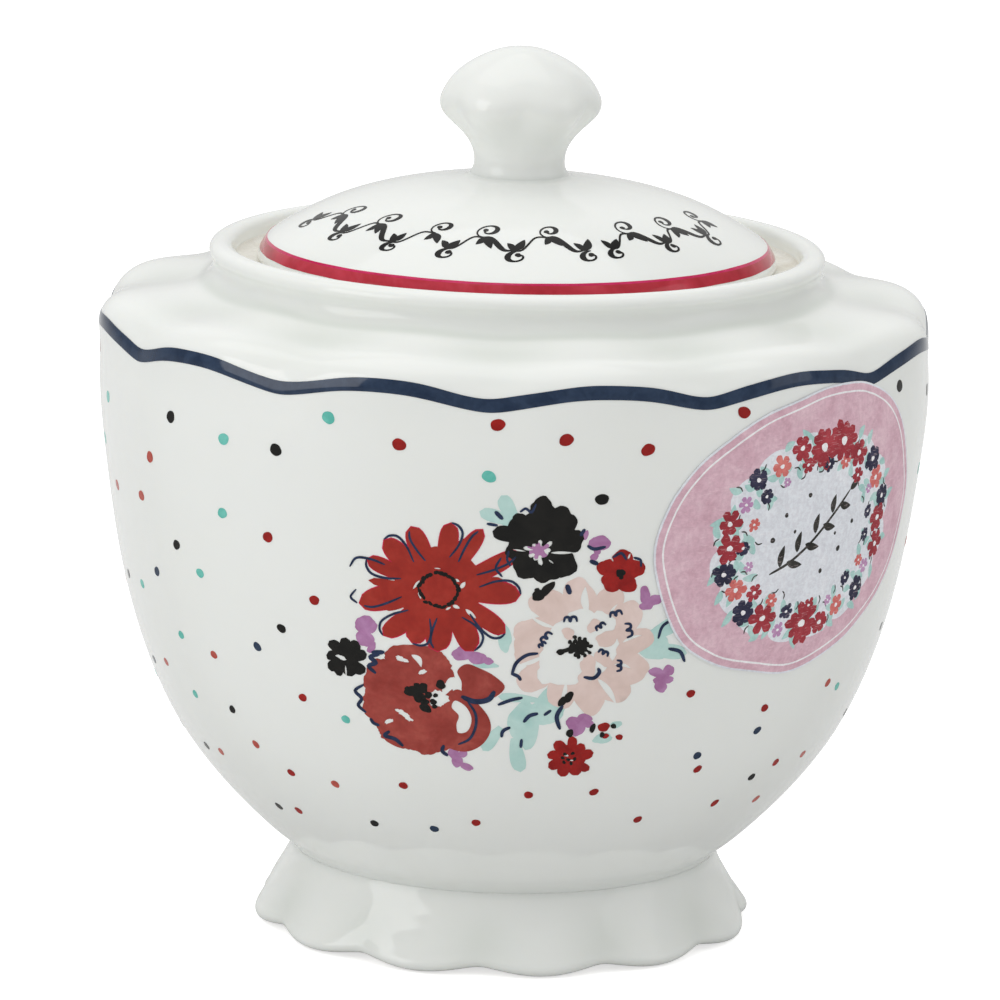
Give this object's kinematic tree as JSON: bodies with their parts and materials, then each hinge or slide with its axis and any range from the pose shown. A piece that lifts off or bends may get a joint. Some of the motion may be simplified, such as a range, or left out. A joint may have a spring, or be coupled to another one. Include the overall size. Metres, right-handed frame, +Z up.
{
  "type": "sugar bowl",
  "caption": "Covered china sugar bowl: deep round body with scalloped shoulder and foot, raised collar, and a domed lid with a lobed knob that lifts off.",
  "frame": {"origin": "centre of the foot's flat resting face, on the bowl's axis", "axes": "+Z up along the bowl's axis; the printed front faces -Y; the paper label is towards +X, -Y"},
  "size_m": [0.12, 0.1199, 0.1283],
  "materials": {
    "glazed_china": "glossy clear glaze over white bone china",
    "label_paper": "matte printed pink paper"
  },
  "bodies": {
    "bowl": {"bowl": "glazed_china", "foot": "glazed_china", "paper_label": "label_paper"},
    "lid": {"lid": "glazed_china", "lid_knob": "glazed_china"}
  },
  "joints": [
    {"name": "lid_lift", "type": "slide", "parent": "bowl", "child": "lid", "axis": [0, 0, 1], "range_m": [0, 0.06]}
  ]
}
